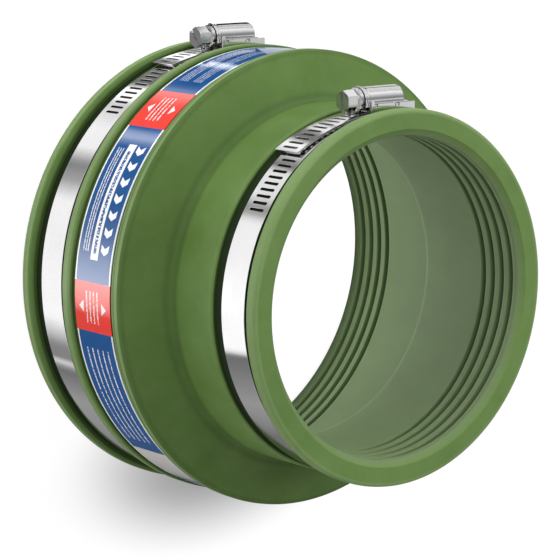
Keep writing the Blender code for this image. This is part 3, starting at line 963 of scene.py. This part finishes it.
def make_band(side, tree, cells, steel):
    """A clamp's band: its start beside the saddle, once round, and its free end over the start."""
    clamp = CLAMPS[side]
    seat = clamp["floor"] + GAP
    measure = seat + BAND_THICKNESS
    start = 90 + math.degrees(math.asin((GAP - SADDLE_HEAD_X) / seat))
    end = 450 + clamp["tail"]
    ramp_end = 450 - math.degrees(math.asin((SADDLE_TAIL_X + RAMP_CLEARANCE) / seat))
    end_piece = SLOT_END_MARGIN - SLOT_PITCH / 2
    length = math.radians(end - start) * measure
    count = round((length - 2 * end_piece) / SLOT_PITCH)
    band = new_object(side + "_clamp_band", bpy.data.meshes.new(side + "_clamp_band"))
    grow(
        band,
        tree,
        slotted_cell=cells[0],
        plain_cell=cells[1],
        cells=count,
        lower_slots=clamp["slots"],
        tail_slots=TAIL_SLOTS,
        pitch=(length - 2 * end_piece) / count * MM,
        cell_length=SLOT_PITCH * MM,
        end_piece=end_piece * MM,
        seat_radius=seat * MM,
        measure_radius=measure * MM,
        start_angle=start,
        end_angle=end,
        ramp_start=ramp_end - math.degrees(RAMP_LENGTH / seat),
        ramp_end=ramp_end,
        leaves_housing=450 + math.degrees(-HOUSING_HEAD_X / seat),
        layer_rise=LAYER_RISE * MM,
        tail_lift=TAIL_LIFT * MM,
        tail_skew=clamp["skew"] * MM,
        middle=(0.0, AXIS_Y * MM, clamp["z"] * MM),
        material=steel,
    )
    bake(band)
    thicken(band, BAND_THICKNESS)
    rounded(band, BAND_EDGE, angle=60)
    return finish_piece(band, side + "_band", "coupling")


# Saddle and worm housing

def make_saddle(side, steel):
    """Channel under the band: notched sides that hold the housing's lugs, and two end tabs."""
    clamp = CLAMPS[side]
    top = clamp["floor"] + SCREW_HEIGHT - HOUSING_SHELF_DROP - GAP
    outer = BAND_WIDTH / 2 + GAP + SADDLE_THICKNESS
    notches = [(x - NOTCH_LENGTH / 2, x + NOTCH_LENGTH / 2) for x in NOTCH_PLACES]
    tab_end = SADDLE_HEAD_X + TAB_LENGTH
    rows_x = [SADDLE_HEAD_X, tab_end]
    for low, high in notches:
        rows_x += [max(low, tab_end), high]
    rows_x = sorted({*rows_x, *SADDLE_ROWS, SADDLE_TAIL_X})
    bm = bmesh.new()
    grid = []
    for x in rows_x:
        base = math.sqrt((clamp["floor"] + GAP) ** 2 - x**2)
        raised = TAB_RISE if x <= tab_end else 0.0
        outline = [(outer, top + raised), (outer, top - NOTCH_DEPTH), (outer, base)]
        outline += [(-z, y) for z, y in reversed(outline)]
        grid.append([bm.verts.new((x, y, clamp["z"] + z)) for z, y in outline])
    step = [bm.verts.new((tab_end, top, clamp["z"] + s * outer)) for s in (1, -1)]
    last = len(grid[0]) - 2
    for i in range(len(grid) - 1):
        here, there = grid[i], grid[i + 1]
        middle_x = (rows_x[i] + rows_x[i + 1]) / 2
        cut = any(low < middle_x < high for low, high in notches)
        for j in range(last + 1):
            if cut and j in (0, last):
                continue
            ring = [here[j], here[j + 1], there[j + 1], there[j]]
            if rows_x[i] == tab_end and j == 0:
                ring[0] = step[0]
            if rows_x[i] == tab_end and j == last:
                ring[1] = step[1]
            bm.faces.new(ring)
    bmesh.ops.recalc_face_normals(bm, faces=bm.faces)
    saddle = mesh_object(side + "_clamp_saddle", bm, steel)
    thicken(saddle, SADDLE_THICKNESS, outside=False, even=True)
    rounded(saddle, 0.16)
    return finish_piece(saddle, side + "_saddle", "coupling")


def housing_stations():
    """Places along the housing as (x, opening radius, outer radius), from the mouth to the end."""
    lip = BARREL_R + HOUSING_MOUTH_LIP
    worm = WORM_R + GAP
    neck = SCREW_NECK_R + GAP
    inside_head = HOUSING_HEAD_X + HOUSING_MOUTH
    inside_tail = WORM_LENGTH / 2 + GAP
    stations = [
        (HOUSING_HEAD_X, neck, lip - 0.45),
        (HOUSING_HEAD_X + 0.25, neck, lip - 0.1),
        (HOUSING_HEAD_X + 0.6, neck, lip),
        (inside_head - 0.55, neck, lip - 0.1),
        (inside_head - 0.2, neck, BARREL_R - 0.15),
        (inside_head, worm, BARREL_R - 0.2),
        (inside_head + 0.5, worm, BARREL_R),
    ]
    plain = [inside_head + 0.5 + (inside_tail - inside_head - 0.5) * t for t in (0.25, 0.5, 0.75)]
    stations += [(x, worm, BARREL_R) for x in plain]
    stations += [
        (inside_tail, worm, BARREL_R),
        (inside_tail + 0.3, SCREW_PIN_R + GAP, BARREL_R - 0.05),
        (HOUSING_TAIL_X, SCREW_PIN_R + GAP, BARREL_R - 0.35),
    ]
    return stations


def make_housing(side, steel):
    """Pressed worm housing: arched barrel with a beaded mouth, shelves, feet and clenched lugs."""
    clamp = CLAMPS[side]
    axis = clamp["floor"] + SCREW_HEIGHT
    shelf = axis - HOUSING_SHELF_DROP
    under = shelf - HOUSING_WALL
    foot_r = clamp["floor"] + BAND_TOP + GAP
    outer_z = BAND_WIDTH / 2

    def section(x, inner_r, outer_r):
        in_mouth = x < HOUSING_HEAD_X + HOUSING_MOUTH - 0.1
        foot = shelf - MOUTH_SKIRT if in_mouth else math.sqrt(foot_r**2 - x**2)
        half = outer_r + 0.2 if in_mouth else outer_z
        low_out = math.asin((axis - shelf) / outer_r)
        low_in = math.asin((axis - under) / inner_r)
        outline = [(half, foot), (half, shelf)]
        inline = [(half - HOUSING_WALL, foot), (half - HOUSING_WALL, under)]
        for i in range(BARREL_STEPS + 1):
            t = i / BARREL_STEPS
            a = -low_out + (math.pi + 2 * low_out) * t
            b = -low_in + (math.pi + 2 * low_in) * t
            pressed = outer_r * (1 - 0.018 * math.sin(3 * a) ** 2)
            outline.append((pressed * math.cos(a), axis + pressed * math.sin(a)))
            inline.append((inner_r * math.cos(b), axis + inner_r * math.sin(b)))
        outline += [(-z, y) for z, y in outline[1::-1]]
        inline += [(-z, y) for z, y in inline[1::-1]]
        return [[(x, y, clamp["z"] + z) for z, y in line] for line in (outline, inline)]

    bm = shell([section(*station) for station in housing_stations()])
    for x in NOTCH_PLACES:
        for sign in (1, -1):
            size = (NOTCH_LENGTH - 0.7, 0.9, GAP + 0.75)
            place = (x, shelf - GAP - 0.75, clamp["z"] + sign * (outer_z + size[2] / 2 - 0.2))
            lug = bmesh.ops.create_cube(bm, size=1.0)["verts"]
            bmesh.ops.scale(bm, vec=size, verts=lug)
            bmesh.ops.translate(bm, vec=place, verts=lug)
    housing = mesh_object(side + "_clamp_housing", bm, steel)
    rounded(housing, 0.14, angle=40)
    return finish_piece(housing, side + "_worm_housing", "coupling")


# Worm screw

def turned(points, steps=48):
    """A solid turned about X from its (x, radius) outline, which starts and ends on the axis."""
    bm = bmesh.new()
    rings = []
    for x, radius in points:
        count = 1 if radius == 0 else steps
        ring = []
        for i in range(count):
            a = 2 * math.pi * i / steps
            ring.append(bm.verts.new((x, radius * math.cos(a), radius * math.sin(a))))
        rings.append(ring)
    for here, there in zip(rings, rings[1:]):
        for i in range(steps):
            j = (i + 1) % steps
            ring = ((here, i), (here, j), (there, j), (there, i))
            bm.faces.new(list(dict.fromkeys(row[k % len(row)] for row, k in ring)))
    bmesh.ops.recalc_face_normals(bm, faces=bm.faces)
    return bm


def hex_head(name, head_x, collar_x, turn, axis):
    """Slotted hexagon head with the curved corners that a turned chamfer leaves."""
    flat = HEX_ACROSS_FLATS / 2
    corner = flat / math.cos(math.pi / 6)
    prism = bmesh.new()
    base = bmesh.ops.create_circle(prism, cap_ends=True, segments=6, radius=corner)["verts"]
    top = bmesh.ops.extrude_face_region(prism, geom=list(prism.faces))["geom"]
    raised = [item for item in top if isinstance(item, bmesh.types.BMVert)]
    bmesh.ops.translate(prism, vec=(0.0, 0.0, collar_x - head_x), verts=raised)
    bmesh.ops.rotate(prism, matrix=Matrix.Rotation(math.pi / 2, 3, "Y"), verts=prism.verts)
    bmesh.ops.translate(prism, vec=(head_x, 0.0, 0.0), verts=prism.verts)
    bmesh.ops.recalc_face_normals(prism, faces=prism.faces)
    reach = 2 * HEX_CHAMFER
    envelope = turned([
        (head_x - 0.01, 0.0),
        (head_x - 0.01, HEX_CROWN_R),
        (head_x + reach, HEX_CROWN_R + reach),
        (collar_x + 1.0, HEX_CROWN_R + reach),
        (collar_x + 1.0, 0.0),
    ])
    slot = bmesh.new()
    bmesh.ops.create_cube(slot, size=1.0)
    size = (2 * DRIVER_SLOT_DEPTH, 3 * HEX_ACROSS_FLATS, DRIVER_SLOT_WIDTH)
    bmesh.ops.scale(slot, vec=size, verts=slot.verts)
    bmesh.ops.rotate(slot, matrix=Matrix.Rotation(math.radians(turn), 3, "X"), verts=slot.verts)
    bmesh.ops.translate(slot, vec=(head_x, 0.0, 0.0), verts=slot.verts)
    head = None
    for label, bm, operation in (
        ("head", prism, None),
        ("envelope", envelope, "INTERSECT"),
        ("slot", slot, "DIFFERENCE"),
    ):
        bmesh.ops.translate(bm, vec=axis, verts=bm.verts)
        part = mesh_object(name + "_" + label, bm)
        if head is None:
            head = part
            continue
        cut = head.modifiers.new(label, "BOOLEAN")
        cut.operation = operation
        cut.solver = "EXACT"
        cut.object = part
        bake(head)
        bpy.data.objects.remove(part, do_unlink=True)
    return head


def thread_tree():
    """Winds a thread ridge round the worm's core and joins it to the rest of the screw."""
    tree, given = group_tree(
        "worm thread",
        "Geometry",
        {
            "Geometry": "Geometry",
            "Turns": 5.0,
            "Pitch Radius": 0.003,
            "Length": 0.015,
            "Ridge": 0.0006,
            "Start": (0.0, 0.0, 0.0),
            "Material": "Material",
        },
        {"Geometry": "Geometry"},
    )
    path = put(
        tree,
        "GeometryNodeCurveSpiral",
        {
            "Resolution": 36,
            "Rotations": given["Turns"],
            "Start Radius": given["Pitch Radius"],
            "End Radius": given["Pitch Radius"],
            "Height": given["Length"],
        },
    )
    path = put(tree, "GeometryNodeSetCurveNormal", {"Curve": path}, mode="Z_UP")
    ridge = put(
        tree,
        "GeometryNodeCurvePrimitiveCircle",
        {"Resolution": 8, "Radius": given["Ridge"]},
        mode="RADIUS",
    )
    wound = put(
        tree,
        "GeometryNodeCurveToMesh",
        {"Curve": path, "Profile Curve": ridge, "Fill Caps": True},
    )
    wound = put(
        tree,
        "GeometryNodeTransform",
        {"Geometry": wound, "Translation": given["Start"], "Rotation": (0.0, math.pi / 2, 0.0)},
    )
    joined = tree.nodes.new("GeometryNodeJoinGeometry")
    tree.links.new(given["Geometry"], joined.inputs[0])
    tree.links.new(wound, joined.inputs[0])
    return close_geometry(tree, joined.outputs[0], given["Material"])


def make_screw(side, tree, steel):
    clamp = CLAMPS[side]
    name = side + "_clamp_screw"
    axis = (0.0, clamp["floor"] + SCREW_HEIGHT, clamp["z"])
    collar_x = HOUSING_HEAD_X - GAP - COLLAR_THICKNESS
    head_x = collar_x - HEX_LENGTH
    worm_x = HOUSING_HEAD_X + HOUSING_MOUTH + GAP
    core_r = WORM_R - THREAD_HEIGHT
    pin_x = WORM_LENGTH / 2
    lathe = turned([
        (collar_x - 0.05, 0.0),
        (collar_x - 0.05, HEX_FACE_R),
        (collar_x, COLLAR_R - 0.25),
        (collar_x + 0.25, COLLAR_R),
        (collar_x + COLLAR_THICKNESS - 0.2, COLLAR_R),
        (collar_x + COLLAR_THICKNESS, COLLAR_R - 0.2),
        (collar_x + COLLAR_THICKNESS, SCREW_NECK_R),
        (worm_x, SCREW_NECK_R),
        (worm_x, core_r),
        (pin_x, core_r),
        (pin_x, SCREW_PIN_R),
        (pin_x + SCREW_PIN_LENGTH - 0.3, SCREW_PIN_R),
        (pin_x + SCREW_PIN_LENGTH, SCREW_PIN_R - 0.3),
        (pin_x + SCREW_PIN_LENGTH, 0.0),
    ])
    bmesh.ops.translate(lathe, vec=axis, verts=lathe.verts)
    screw = mesh_object(name, lathe, steel)
    head = hex_head(name, head_x, collar_x, clamp["turn"], axis)
    bm = bmesh.new()
    bm.from_mesh(screw.data)
    bm.from_mesh(head.data)
    bm.to_mesh(screw.data)
    bm.free()
    bpy.data.objects.remove(head, do_unlink=True)
    rounded(screw, 0.1)
    ridge = THREAD_HEIGHT * 0.75
    start = (worm_x + ridge) * MM
    grow(
        screw,
        tree,
        turns=(WORM_LENGTH / 2 - worm_x - 2 * ridge) / SLOT_PITCH,
        pitch_radius=(WORM_R - ridge) * MM,
        length=(WORM_LENGTH / 2 - worm_x - 2 * ridge) * MM,
        ridge=ridge * MM,
        start=(start, (axis[1] + AXIS_Y) * MM, axis[2] * MM),
        material=steel,
    )
    bake(screw)
    screw.data.set_sharp_from_angle(angle=math.radians(SHARP_ANGLE))
    return finish_piece(screw, side + "_worm_screw", side + "_screw")


# Camera, light and the white studio

CAMERA_PLACE = (-0.6288, 0.16545, 0.8165)
CAMERA_AHEAD = (0.62418, -0.17043, -0.76247)
CAMERA_UP = (0.10635, 0.98537, -0.13319)
CAMERA_LENS = 167.13
SENSOR = 36.0


def make_camera():
    data = bpy.data.cameras.new("camera")
    data.lens = CAMERA_LENS
    data.sensor_width = SENSOR
    data.clip_start = 0.01
    data.clip_end = 50.0
    camera = new_object("camera", data)
    back = -Vector(CAMERA_AHEAD).normalized()
    right = Vector(CAMERA_UP).cross(back).normalized()
    up = back.cross(right)
    turn = Matrix((right, up, back)).transposed().to_4x4()
    camera.matrix_world = Matrix.Translation(CAMERA_PLACE) @ turn
    bpy.context.scene.camera = camera


def area_light(name, place, size, power):
    """A soft square lamp that faces the middle of the coupling."""
    data = bpy.data.lights.new(name, "AREA")
    data.shape = "SQUARE"
    data.size = size
    data.energy = power
    lamp = new_object(name, data)
    aim = Vector((0.0, 0.0, 0.06)) - Vector(place)
    lamp.rotation_mode = "QUATERNION"
    lamp.rotation_quaternion = aim.to_track_quat("-Z", "Y")
    lamp.location = place
    lamp.visible_camera = False
    lamp.visible_glossy = False
    return lamp


# The studio as polished walls mirror it, laid out for the photograph's view as a photographer
# places bright and dark cards, in pairs of place and brightness. For the bands and the label the
# place is the angle round the pipe at which a card shows. For what lies beside the housings it is
# a distance from the pipe axis, and above the floor an angle round the X axis.
LARGE_BAND_GLINTS = [
    (0, 0.3), (100, 0.5), (102, 1.8), (105, 1.8), (107, 0.3), (119, 0.2), (121, 1.7),
    (124, 1.7), (127, 0.8), (136, 1.2), (142, 1.2), (147, 0.3), (152, 0.5), (157, 1.2),
    (188, 1.3), (196, 0.3), (200, 0.3), (201, 0.9), (203, 0.2), (214, 0.4), (240, 0.2),
    (360, 0.3),
]
SMALL_BAND_GLINTS = [
    (0, 0.3), (97, 0.1), (101, 1.1), (105, 1.1), (107, 0.3), (113, 0.2), (116, 1.3),
    (118, 1.3), (123, 0.6), (128, 0.2), (131, 1.1), (141, 1.0), (145, 0.4), (147, 0.4),
    (150, 1.2), (192, 1.4), (194, 0.2), (214, 0.4), (240, 0.2), (360, 0.3),
]
LABEL_GLINTS = [
    (0, 0.1), (106, 0.0), (107, 3.5), (108, 3.0), (109, 0.0), (119, 0.0), (122, 1.8),
    (124, 1.2), (127, 0.1), (135, 0.1), (137, 4.0), (138, 4.0), (140, 0.1), (156, 0.1),
    (164, 1.0), (170, 4.0), (176, 6.0), (182, 3.0), (184, 0.1), (360, 0.1),
]
BESIDE_HOUSING_GLINTS = [
    (0, 0.3), (95, 0.8), (106, 0.8), (112, 0.4), (130, 0.4), (138, 1.1), (165, 0.8),
    (215, 0.7), (230, 0.3), (340, 0.3), (365, 1.2), (600, 0.9),
]
STUDIO_GLINTS = [
    (0, 1.0), (8, 1.0), (17, 0.7), (24, 0.9), (30, 1.2), (38, 1.2), (45, 0.9),
    (66, 0.4), (76, 0.3), (87, 0.3), (100, 0.9), (112, 0.6), (125, 0.7), (140, 0.3),
    (150, 0.1), (360, 0.1),
]
BRIGHTEST_GLINT = 6.0

# The photograph's view that the cards are laid out for: its side in degrees round the pipe, and
# two factors for how near and how steep it looks.
VIEW_SIDE = 163.2
VIEW_CLOSENESS = 1.115
VIEW_STEEPNESS = 1.175
MIRROR_STEPS = 6
BESIDE_HOUSINGS = (25.0, 74.0)

# The even glow, the floor, and the soft shade painted beside the coupling's foot.
WHITE = (1.0, 1.0, 1.0, 1.0)
WORLD_GLOW = 0.36
FLOOR_HALF = 6.0
FLOOR_DROP = 0.05
FLOOR_COLOUR = (0.90, 0.90, 0.90, 1.0)
FLOOR_WHITE = 0.90
FLOOR_GLOW = 1.05
SHADE_DEPTH = 0.65
SHADE_TURN = 0.30
SHADE_FADE = (0.090, 0.126, 1.0, 0.0)
SHADE_SIDE = (0.45, 1.0, 0.0, 1.0)

# The lamps: name, place, width and watts.
LAMPS = (
    ("top lamp", (-0.05, 1.15, 0.12), 0.7, 14.0),
    ("left lamp", (-1.00, -0.50, 0.22), 0.35, 4.0),
    ("front lamp", (0.45, 0.20, 0.75), 0.45, 3.6),
    ("lamp over the camera", (-0.40, 0.45, 1.10), 0.5, 3.5),
)
BORE_LAMP = ("light through the large bore", (0.0, AXIS_Y * MM, 0.001), 0.13, 0.17)


def studio_group():
    """How bright the studio looks to polished metal and gloss print, by direction."""
    tree, given = group_tree(
        "studio surroundings",
        "Shader",
        {"Direction": "Vector"},
        {"Floor": "Float", "Above": "Float"},
    )
    x, y, z = split(tree, given["Direction"])
    out = (x * x + y * y).root() / MM
    around = y.arctangent(x).modulo(2 * math.pi)
    turn, height = mirrored(around, out, LARGE_RIM_R)
    small_turn, unused = mirrored(around, out, SMALL_FLOOR_R + BAND_THICKNESS)
    floor = glints(turn, LARGE_BAND_GLINTS)
    floor = choose(height.over(RIDGE_Z), floor, glints(turn, LABEL_GLINTS))
    floor = choose(height.over(STEP_Z), floor, glints(small_turn, SMALL_BAND_GLINTS))
    beside = around.within(*(math.radians(angle) for angle in BESIDE_HOUSINGS))
    floor = choose(beside, floor, glints(out, BESIDE_HOUSING_GLINTS))
    above = z.arctangent(y).modulo(2 * math.pi) * DEGREES
    close_group(tree, {"Floor": floor, "Above": glints(above, STUDIO_GLINTS)})
    return tree


def choose(mask, below, above):
    return below + (above - below) * mask


def mirrored(around, out, radius):
    """Where on an upright round wall a point of the floor is mirrored, as angle and height.

    It is worked out for the photograph's view. The angle is found step by step, from the law of
    sines for the ray's path along the floor.
    """
    turn = around
    for step in range(MIRROR_STEPS):
        lean = (turn - math.radians(VIEW_SIDE)) * VIEW_CLOSENESS
        bent = (lean.sine() * radius / out).arcsine()
        turn = around + bent - lean
    path = out * out + radius**2 - out * (around - turn).cosine() * (2.0 * radius)
    return turn * DEGREES, path.most(0.0).root() * VIEW_STEEPNESS


def glints(place, levels):
    """A brightness that changes with a place, read from (place, level) pairs."""
    tree = place.tree
    furthest = levels[-1][0]
    ramp = tree.nodes.new("ShaderNodeValToRGB")
    feed(tree, ramp.inputs[0], place / furthest)
    stops = ramp.color_ramp.elements
    while len(stops) < len(levels):
        stops.new(0.5)
    for stop, (where, level) in zip(stops, levels):
        stop.position = where / furthest
        share = level / BRIGHTEST_GLINT
        stop.color = (share, share, share, 1.0)
    return Field(tree, ramp.outputs[0]) * BRIGHTEST_GLINT


def make_world(studio):
    """White for the camera, the studio for polished surfaces and an even glow for the rest."""
    world = bpy.data.worlds.new("white studio")
    bpy.context.scene.world = world
    world.use_nodes = True
    tree = world.node_tree
    tree.nodes.clear()
    path = tree.nodes.new("ShaderNodeLightPath")
    place = put(tree, "ShaderNodeTexCoord", out="Generated")
    seen = place_group(tree, studio, {"Direction": place})["Above"]
    glow = put(tree, "ShaderNodeBackground", {"Color": WHITE, "Strength": WORLD_GLOW})
    white = put(tree, "ShaderNodeBackground", {"Color": WHITE, "Strength": 1.0})
    shine = put(tree, "ShaderNodeBackground", {"Color": seen, "Strength": 1.0})
    shown = put(tree, "ShaderNodeMixShader", {0: path.outputs["Is Glossy Ray"], 1: glow, 2: shine})
    direct = Field(tree, path.outputs["Is Camera Ray"]).most(path.outputs["Is Transmission Ray"])
    shown = put(tree, "ShaderNodeMixShader", {0: direct, 1: shown, 2: white})
    put(tree, "ShaderNodeOutputWorld", {"Surface": shown})


def make_floor(studio):
    """Pale floor that looks white, keeps the soft shadow and has painted shade by the foot."""
    bm = bmesh.new()
    bmesh.ops.create_grid(bm, x_segments=1, y_segments=1, size=FLOOR_HALF / MM)
    bmesh.ops.translate(bm, vec=(0.0, 0.0, -FLOOR_DROP), verts=bm.verts)
    material, tree, shader, place = new_material("studio_floor")
    path = tree.nodes.new("ShaderNodeLightPath")
    seen = place_group(tree, studio, {"Direction": place})["Floor"]
    x, y, z = split(tree, place)
    out = (x * x + y * y).root()
    in_bore = out.eased((LARGE_BORE_R - 2.0) * MM, LARGE_RIM_R * MM, 1.0, 0.0)
    # Painted shade: a soft darker patch on the floor on the coupling's -Y side, and none under the
    # bore.
    side = (x * SHADE_TURN - y) / out
    shade = (1.0 - in_bore) * out.eased(*SHADE_FADE) * side.eased(*SHADE_SIDE)
    pool = 1.0 - shade * SHADE_DEPTH
    shader.inputs["Base Color"].default_value = FLOOR_COLOUR
    shader.inputs["Roughness"].default_value = 0.7
    shader.inputs["Specular IOR Level"].default_value = 0.2
    white = put(tree, "ShaderNodeEmission", {"Color": WHITE, "Strength": pool * FLOOR_GLOW})
    shine = put(tree, "ShaderNodeEmission", {"Color": seen, "Strength": 1.0})
    glossy = path.outputs["Is Glossy Ray"]
    look = put(tree, "ShaderNodeMixShader", {0: glossy, 1: white, 2: shine})
    direct = Field(tree, path.outputs["Is Camera Ray"]).most(path.outputs["Is Transmission Ray"])
    share = (direct * (in_bore * (1.0 - FLOOR_WHITE) + FLOOR_WHITE)).most(glossy)
    mixed = put(tree, "ShaderNodeMixShader", {0: share, 1: shader.outputs[0], 2: look})
    feed(tree, tree.nodes["Material Output"].inputs["Surface"], mixed)
    floor = mesh_object("studio_floor", bm, material)
    floor.data.transform(Matrix.Translation((0.0, -AXIS_Y * MM, 0.0)))
    floor.location = (0.0, AXIS_Y * MM, 0.0)


def make_studio():
    studio = studio_group()
    make_world(studio)
    make_floor(studio)
    for lamp in LAMPS:
        area_light(*lamp)
    bore = area_light(*BORE_LAMP)
    bore.rotation_quaternion = (0.0, 1.0, 0.0, 0.0)
    bore.data.shape = "DISK"


def main():
    bpy.context.scene.view_settings.view_transform = "Standard"
    make_camera()
    mottling = mottling_group()
    grain = rolled_steel_group()
    rubber = rubber_material(mottling)
    printed = label_material(mottling)
    strip_steel = steel_material("band_steel", grain, STRIP_STEEL, 0.03, (90.0, 2600.0, 1.0), 0.004)
    worked_steel = steel_material(
        "screw_steel", grain, WORKED_STEEL, 0.05, (60.0, 1500.0, 1500.0), 0.012
    )

    make_sleeve(rubber)
    make_label(printed)
    cells = (band_cell("slotted cell", True), band_cell("plain cell", False))
    wrap = band_tree()
    thread = thread_tree()
    for side in CLAMPS:
        make_band(side, wrap, cells, strip_steel)
        make_saddle(side, strip_steel)
        make_housing(side, worked_steel)
        make_screw(side, thread, worked_steel)
    for cell in cells:
        bpy.data.objects.remove(cell, do_unlink=True)
    make_studio()


main()
